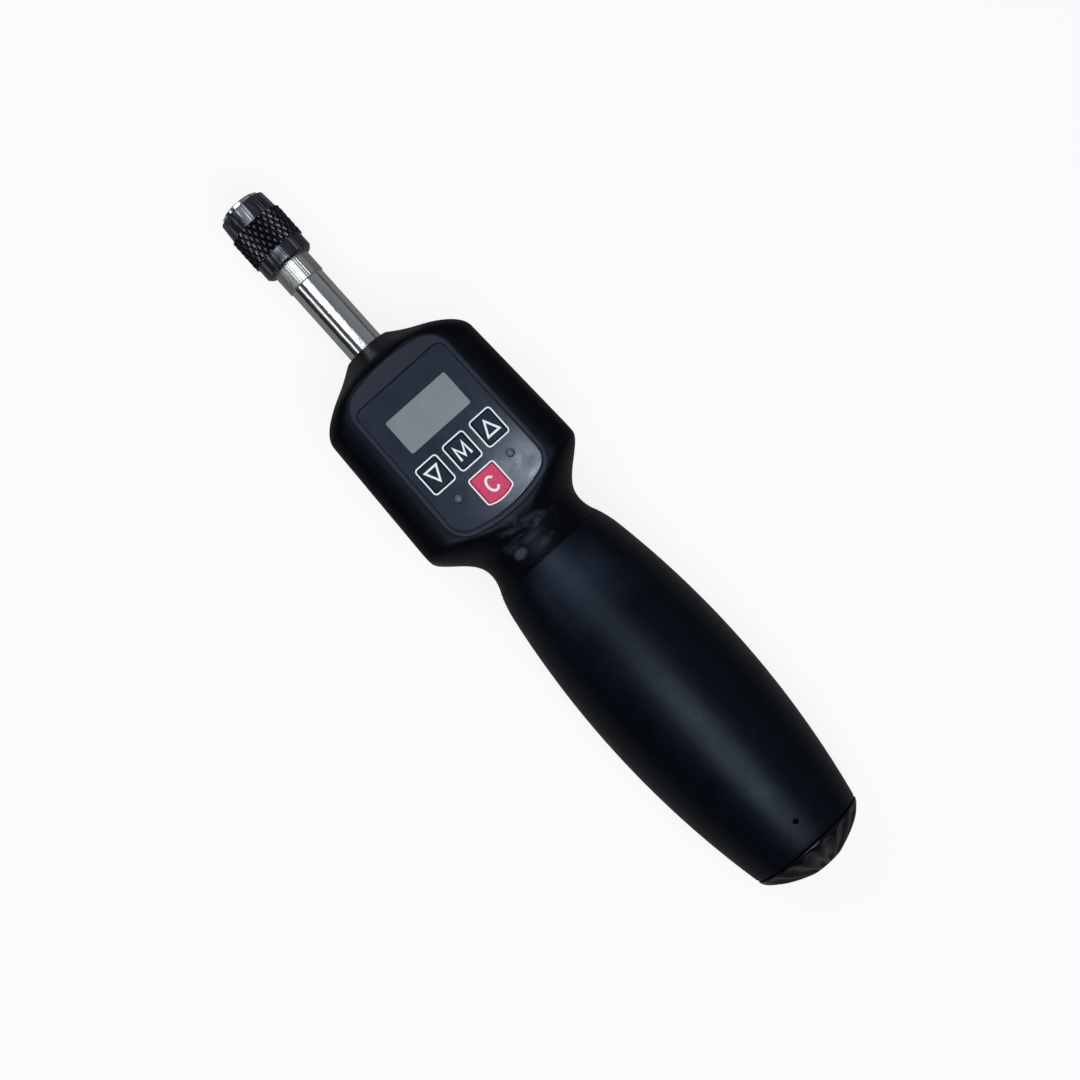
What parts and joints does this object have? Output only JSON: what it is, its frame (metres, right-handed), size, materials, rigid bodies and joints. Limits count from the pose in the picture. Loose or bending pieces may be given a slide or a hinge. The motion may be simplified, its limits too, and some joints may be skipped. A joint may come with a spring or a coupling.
{
  "type": "digital torque screwdriver",
  "caption": "Hand torque tester: hex bit chuck with a knurled release sleeve, a display head with keys, and a barrel grip with a screw-on battery cap.",
  "frame": {"origin": "centre of the hex bit socket's mouth, on the drive axis", "axes": "+X along the drive axis out of the bit socket, +Z out of the display, +Y to the side of the down key"},
  "size_m": [0.216, 0.047, 0.0414],
  "materials": {
    "satin_steel": "satin",
    "chrome": "polished",
    "hard_steel": "ground",
    "black_sleeve": "black, semi-gloss",
    "magnet": "plain",
    "bronze": "plain",
    "sensor_steel": "machined",
    "dark_screws": "black oxide",
    "lead_red": "plain",
    "shell_plastic": "satin",
    "bezel_plastic": "semi-gloss",
    "overlay_film": "satin",
    "lcd_glass": "gloss",
    "lcd_frame": "plain",
    "key_black": "satin",
    "key_red": "satin",
    "lens_dark": "gloss",
    "switch_metal": "plain",
    "board_green": "satin",
    "chip_black": "plain",
    "tube_aluminium": "plain",
    "handle_plastic": "plain",
    "grip_rubber": "satin, soft",
    "cell_wrap": "gloss",
    "contact_metal": "plated",
    "cap_plastic": "satin",
    "seal_rubber": "matte"
  },
  "bodies": {
    "body": {"chuck_body": "satin_steel", "sleeve_spring": "hard_steel", "sleeve_washer": "chrome", "snap_ring": "chrome", "bit_magnet": "magnet", "drive_shaft": "chrome", "shaft_bushing": "bronze", "torque_sensor": "sensor_steel", "sensor_set_screws": "dark_screws", "strain_gauges": "bronze", "sensor_leads": "lead_red", "head_front_shell": "shell_plastic", "head_back_shell": "shell_plastic", "housing_screws": "dark_screws", "display_bezel": "bezel_plastic", "keypad_overlay": "overlay_film", "lcd_lens": "lcd_glass", "lcd_module": "lcd_frame", "indicator_lenses": "lens_dark", "tact_switches": "switch_metal", "main_board": "board_green", "board_components": "chip_black", "board_screws": "hard_steel", "buzzer": "chip_black", "core_tube": "tube_aluminium", "handle_body": "handle_plastic", "grip_sleeve": "grip_rubber", "grip_screw": "dark_screws", "battery_holder": "handle_plastic", "battery_cell_a": "cell_wrap", "battery_cell_b": "cell_wrap", "battery_contacts": "contact_metal", "battery_springs": "hard_steel", "battery_leads": "lead_red"},
    "sleeve": {"release_sleeve": "black_sleeve"},
    "ball": {"detent_ball": "hard_steel"},
    "up_key": {"key_up": "key_black"},
    "mode_key": {"key_mode": "key_black"},
    "down_key": {"key_down": "key_black"},
    "clear_key": {"key_clear": "key_red"},
    "seal": {"cap_o_ring": "seal_rubber"},
    "cap": {"battery_cap": "cap_plastic"}
  },
  "joints": [
    {"name": "sleeve_pull", "type": "slide", "parent": "body", "child": "sleeve", "axis": [1, 0, 0], "range_m": [0, 0.003], "stiffness_N_per_m": 800, "springref_m": -0.003, "deforming": ["sleeve_spring"]},
    {"name": "ball_release", "type": "slide", "parent": "body", "child": "ball", "axis": [0, 0, 1], "range_m": [0, 0.00065]},
    {"name": "key_up_press", "type": "slide", "parent": "body", "child": "up_key", "axis": [0, 0, -1], "range_m": [0, 0.0004], "stiffness_N_per_m": 1000, "springref_m": -0.0003},
    {"name": "key_mode_press", "type": "slide", "parent": "body", "child": "mode_key", "axis": [0, 0, -1], "range_m": [0, 0.0004], "stiffness_N_per_m": 1000, "springref_m": -0.0003},
    {"name": "key_down_press", "type": "slide", "parent": "body", "child": "down_key", "axis": [0, 0, -1], "range_m": [0, 0.0004], "stiffness_N_per_m": 1000, "springref_m": -0.0003},
    {"name": "key_clear_press", "type": "slide", "parent": "body", "child": "clear_key", "axis": [0, 0, -1], "range_m": [0, 0.0004], "stiffness_N_per_m": 1000, "springref_m": -0.0003},
    {"name": "cap_travel", "type": "slide", "parent": "body", "child": "seal", "axis": [-1, 0, 0], "range_m": [0, 0.006]},
    {"name": "cap_unscrew", "type": "hinge", "parent": "seal", "child": "cap", "pos_m": [-0.2087, 0, 0], "axis": [-1, 0, 0], "range_deg": [0, 1440]}
  ],
  "couplings": [
    {"joint": "ball_release", "follows": "sleeve_pull", "ratio": 0.2166},
    {"joint": "cap_travel", "follows": "cap_unscrew", "m_per_rad": 0.00023873}
  ]
}
